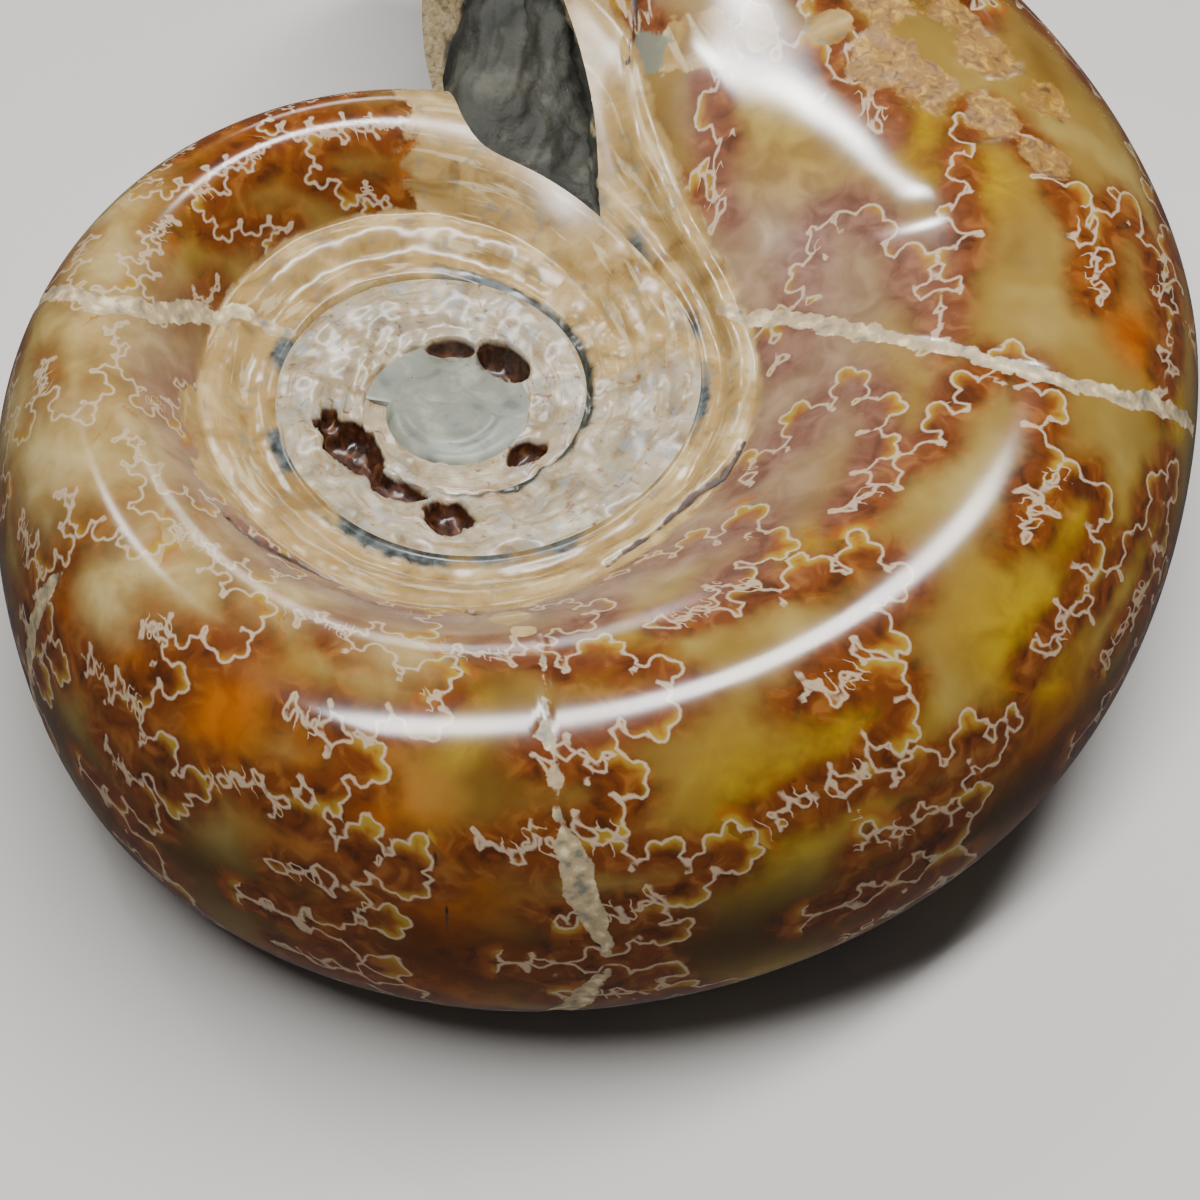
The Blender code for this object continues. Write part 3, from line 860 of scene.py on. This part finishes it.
def growth_streaks(tree):
    """Noise drawn out along the whorl, from 0 to 1."""
    share, angle = read_marks(tree, "whorl_share", "whorl_angle")
    round_way = add_node(tree, "Math", (angle, STREAKS_PER_DEGREE), operation="MULTIPLY")
    outward = add_node(tree, "Math", (share, STREAKS_ACROSS), operation="MULTIPLY")
    place = add_node(tree, "CombineXYZ", (round_way, outward))
    return mottle(tree, place, blot=1.0, detail=4.0, distortion=0.6)


def wall_colour(tree, place):
    """The umbilical wall: the shell itself, cream and ochre with grey streaks, darkest in the seam, where
    dark matrix and painted shade of the groove lie in broken stretches.
    """
    wide = mottle(tree, place, blot=3.0, detail=4.0, distortion=0.8)
    fine = mottle(tree, place, blot=0.9, detail=5.0, distortion=0.5)
    share, = read_marks(tree, "whorl_share")
    # The seam's dark band: dark matrix and painted shade of the groove, broken into stretches
    seam = add_node(tree, "Math", (fine, 0.05, share), operation="MULTIPLY_ADD")
    seam = soft_edge(tree, seam, 0.085, 0.06)
    stretches = soft_edge(tree, mottle(tree, place, blot=5.0), 0.42, 0.56)
    seam = add_node(tree, "Math", (seam, stretches), operation="MULTIPLY")
    return laid_over(
        tree,
        blend_of(tree, wide, "#75592c", "#967a48", "#ae9566"),
        ("#bfae8a", soft_edge(tree, growth_streaks(tree), 0.54, 0.66, most=0.6)),
        ("#6f6858", soft_edge(tree, fine, 0.54, 0.7, most=0.6)),
        (blend_of(tree, fine, "#23241e", "#5a6060"), seam),
    )


def polished_calcite():
    """Calcite, cut and polished: deep amber under a clear gloss, with the pale frilled edges of the septa.

    The gloss is duller where the polish is hazy, and dull in the veins, cracks and unpolished places.
    """
    material, tree, shader = new_material("polished_calcite")
    place = place_in_mm(tree)
    suture, = read_marks(tree, "suture_distance")
    suture = add_node(tree, "Math", (suture, waver(tree, place, 0.45, 2.0, 0.16)), operation="ADD")
    ragged = waver(tree, place, 1.5, 5.0, 1.2)
    rough = patch_edge(tree, "rough", ragged, 0.6)
    wall = wall_cover(tree, ragged)
    vein = line_cover(tree, place, "vein", 1.3)
    crack = line_cover(tree, place, "crack", 0.7)
    crust = mottle(tree, place, blot=0.7, detail=5.0, distortion=1.0)
    vein_grain = mottle(tree, place, blot=0.8, detail=4.0)
    colour = laid_over(
        tree,
        tip_glow(tree, fold_colour(tree, place, chamber_colour(tree, place)), suture),
        ("#b09c82", suture_line(tree, suture)),
        (wall_colour(tree, place), patch_edge(tree, "cream", ragged, 0.42)),
        (blend_of(tree, crust, "#4a2e06", "#7a5410", "#a07c28"), rough),
        ("#6b6f62", patch_edge(tree, "green", ragged, 0.5, most=0.85)),
        (wall_colour(tree, place), wall),
        (blend_of(tree, vein_grain, "#6a6a5c", "#a08c68", "#cdbb96"), vein),
        (blend_of(tree, mottle(tree, place, blot=0.5), "#1a120c", "#4a2a14"), crack),
    )
    tree.links.new(colour, shader.inputs["Base Color"])

    haze = mottle(tree, place, blot=6.0, detail=6.0)
    dull = add_node(tree, "Math", (vein, crack), operation="MAXIMUM")
    dull = add_node(tree, "Math", (dull, rough), operation="MAXIMUM")
    roughness = POLISH_ROUGHNESS
    for cover, amount in ((haze, HAZE_ROUGHNESS), (dull, DULL_ROUGHNESS), (wall, WALL_ROUGHNESS)):
        roughness = add_node(tree, "Math", (cover, amount, roughness), operation="MULTIPLY_ADD")
    tree.links.new(roughness, shader.inputs["Roughness"])
    shader.inputs["IOR"].default_value = CALCITE_IOR
    return material


def nacreous_inner_whorls():
    """Bare nacre, rubbed and stained: chalky white and grey, with brown streaks, dark open chambers that hold
    painted shade, and a painted shadow along the seam.

    The last of the inner whorls pass into the colours of the umbilical wall.
    """
    material, tree, shader = new_material("nacreous_inner_whorls")
    place = place_in_mm(tree)
    wide = mottle(tree, place, blot=2.2, detail=4.0, distortion=0.6)
    fine = mottle(tree, place, blot=0.7, detail=5.0, distortion=0.6)
    bluish = mottle(tree, place, blot=1.6, detail=3.0, distortion=1.0)
    share, angle, sunk = read_marks(tree, "whorl_share", "whorl_angle", "sunk")
    late = add_node(tree, "Math", (wide, 50.0, angle), operation="MULTIPLY_ADD")
    # Painted shadow: a dark line along the seam under the last whorl's wall
    seam = add_node(tree, "Math", (fine, 0.06, share), operation="MULTIPLY_ADD")
    seam = soft_edge(tree, seam, 0.12, 0.07)
    seam = add_node(tree, "Math", (seam, soft_edge(tree, late, -440.0, -400.0)), operation="MULTIPLY")
    colour = laid_over(
        tree,
        blend_of(tree, wide, "#76664c", "#988a70", "#b8ac96"),
        ("#868d8e", soft_edge(tree, bluish, 0.5, 0.65, most=0.55)),
        ("#8a6f46", soft_edge(tree, growth_streaks(tree), 0.52, 0.64, most=0.8)),
        ("#6b4a2c", soft_edge(tree, fine, 0.6, 0.72)),
        (wall_colour(tree, place), soft_edge(tree, late, -335.0, -310.0)),
        ("#26271f", seam),
        # Painted shade: the open chambers darken by how far their points sank
        (blend_of(tree, fine, "#1c0d06", "#34190b", "#5a3518"), soft_edge(tree, sunk, 0.1, 0.5)),
    )
    tree.links.new(colour, shader.inputs["Base Color"])
    roughness = add_node(tree, "Math", (fine, 0.3, 0.15), operation="MULTIPLY_ADD")
    tree.links.new(roughness, shader.inputs["Roughness"])
    return material


def rough_broken_matrix():
    """Mudstone, broken in the aperture: dull grey-green and grainy, with tan crusts along its rim.

    Its grain is drawn 0.4 mm wide, several times coarser than the real one, so that it shows.
    """
    material, tree, shader = new_material("rough_broken_matrix")
    place = place_in_mm(tree)
    wide = mottle(tree, place, blot=3.0, detail=5.0, distortion=0.5)
    fine = mottle(tree, place, blot=0.4, detail=5.0)
    share, = read_marks(tree, "whorl_share")
    crust = add_node(tree, "Math", (wide, 0.4, share), operation="MULTIPLY_ADD")
    colour = laid_over(
        tree,
        blend_of(tree, wide, "#15160f", "#28281f", "#46453a"),
        (blend_of(tree, fine, "#7a6848", "#a8946c", "#c8b896"), soft_edge(tree, crust, 0.34, 0.26)),
        ("#1c1d1a", soft_edge(tree, fine, 0.62, 0.75)),
    )
    tree.links.new(colour, shader.inputs["Base Color"])
    shader.inputs["Roughness"].default_value = 0.75
    grain = add_node(tree, "Bump", {"Height": fine, "Distance": 0.15 * MM, "Strength": 0.8}, output="Normal")
    tree.links.new(grain, shader.inputs["Normal"])
    return material


def rubbed_matrix_plug():
    """Mudstone, rubbed smooth with the shell: pale grey-green, half dull, with soft blots and dark specks."""
    material, tree, shader = new_material("rubbed_matrix_plug")
    place = place_in_mm(tree)
    wide = mottle(tree, place, blot=2.0, detail=5.0, distortion=0.6)
    fine = mottle(tree, place, blot=0.3, detail=4.0)
    colour = laid_over(
        tree,
        blend_of(tree, wide, "#565a50", "#6e7064", "#888a7c"),
        ("#3c4038", soft_edge(tree, fine, 0.64, 0.76)),
    )
    tree.links.new(colour, shader.inputs["Base Color"])
    shader.inputs["Roughness"].default_value = 0.4
    return material


# The camera, fitted to the shell's outline and umbilicus: millimetres and degrees in the shell's frame
# Half its view is half the photo's width over the focal length, both in the photo's pixels.
CAMERA_ELEVATION = 54.0
CAMERA_ROLL = -4.0
CAMERA_DISTANCE = 244.0
CAMERA_CENTRE = (-8.90, 9.05)
CAMERA_HALF_VIEW = 600 / 4000
CAMERA_CLIP_START = 0.01


def add_camera():
    """The photo's view."""
    cos, sin = math.cos(math.radians(CAMERA_ROLL)), math.sin(math.radians(CAMERA_ROLL))
    level, rise = math.cos(math.radians(CAMERA_ELEVATION)), math.sin(math.radians(CAMERA_ELEVATION))
    right = Vector((cos, -sin * rise, -sin * level))
    up = Vector((sin, cos * rise, cos * level))
    back = Vector((0, -level, rise))
    centre_x, centre_y = CAMERA_CENTRE
    in_shell = Matrix((right, up, back)).transposed().to_4x4()
    in_shell.translation = (right * -centre_x - up * centre_y + back * CAMERA_DISTANCE) * MM
    lean = Euler((math.radians(LEAN_X), math.radians(LEAN_Y), 0)).to_matrix().to_4x4()
    lean.translation = Vector(CENTRE) * MM
    camera = bpy.data.objects.new("camera", bpy.data.cameras.new("camera"))
    camera.data.sensor_fit = "HORIZONTAL"
    camera.data.angle = 2 * math.atan(CAMERA_HALF_VIEW)
    camera.data.clip_start = CAMERA_CLIP_START
    camera.matrix_world = lean @ in_shell
    bpy.context.scene.collection.objects.link(camera)
    bpy.context.scene.camera = camera


# Softboxes in metres, watts and degrees: a long diagonal one overhead, whose reflection is the bright band
# on the flank, a small gridded one for the last chambers, and a soft one behind
SOFTBOXES = {
    "long_softbox": {"place": (0.03, 0.0, 0.6), "run": (0.84, 0.82, 0), "width": 0.09, "length": 0.74,
                     "power": 9},
    "gridded_softbox": {"place": (-0.145, 0.135, 0.33), "run": (1, -0.1, 0), "width": 0.03, "length": 0.1,
                        "power": 0.009, "target": (0.0118, 0.0055, 0.027), "spread": 16},
    "back_light": {"place": (0.05, 0.8, 0.25), "run": (1, 0, 0), "width": 0.15, "length": 0.5, "power": 1.5},
}
STUDIO_COLOUR = "#e8ecf2"
STUDIO_STRENGTH = 0.09


def add_softbox(name, place, run, width, length, power, target=(0, 0, 0), spread=180.0):
    """A rectangular light facing its target. Its length runs the way given, and a grid narrows its spread."""
    light = bpy.data.lights.new(name, "AREA")
    light.shape = "RECTANGLE"
    light.size = length
    light.size_y = width
    light.energy = power
    light.spread = math.radians(spread)
    back = (Vector(place) - Vector(target)).normalized()
    run = Vector(run)
    run = (run - back * run.dot(back)).normalized()
    turn = Matrix((run, back.cross(run), back)).transposed().to_4x4()
    turn.translation = Vector(place)
    softbox = bpy.data.objects.new(name, light)
    softbox.matrix_world = turn
    bpy.context.scene.collection.objects.link(softbox)


def add_lights():
    """The softboxes and a faint even light from all round."""
    for name, settings in SOFTBOXES.items():
        add_softbox(name, **settings)
    world = bpy.data.worlds.new("studio")
    bpy.context.scene.world = world
    world.use_nodes = True
    background = world.node_tree.nodes["Background"]
    background.inputs["Color"].default_value = linear(STUDIO_COLOUR)
    background.inputs["Strength"].default_value = STUDIO_STRENGTH


# The floor is this wide, and lies this far under the shell so that the two surfaces don't share a plane
FLOOR_SIZE = 4.0
FLOOR_GAP = 0.05 * MM


def add_floor():
    """A plain floor of pale matt paper, which the polish doesn't mirror."""
    bpy.ops.mesh.primitive_plane_add(size=FLOOR_SIZE, location=(0, 0, -FLOOR_GAP))
    floor = bpy.context.object
    floor.name = "floor"
    material, tree, shader = new_material("matt_paper_floor")
    shader.inputs["Base Color"].default_value = linear("#b9b7b3")
    shader.inputs["Roughness"].default_value = 0.9
    floor.data.materials.append(material)
    floor.visible_glossy = False


def main():
    """Builds the fossil and its studio."""
    materials = {CALCITE: polished_calcite(), MATRIX: rough_broken_matrix(), PLUG: rubbed_matrix_plug(),
                 NACRE: nacreous_inner_whorls()}
    halves = [build_half("ammonite_upper_half", UPPER_CELLS, UPPER_STEP),
              build_half("ammonite_lower_half", LOWER_CELLS, LOWER_STEP, lower=True)]
    for half in halves:
        for slot in sorted(materials):
            half.data.materials.append(materials[slot])
        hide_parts("ammonite")
        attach(half, "root")
    add_floor()
    add_lights()
    add_camera()


main()
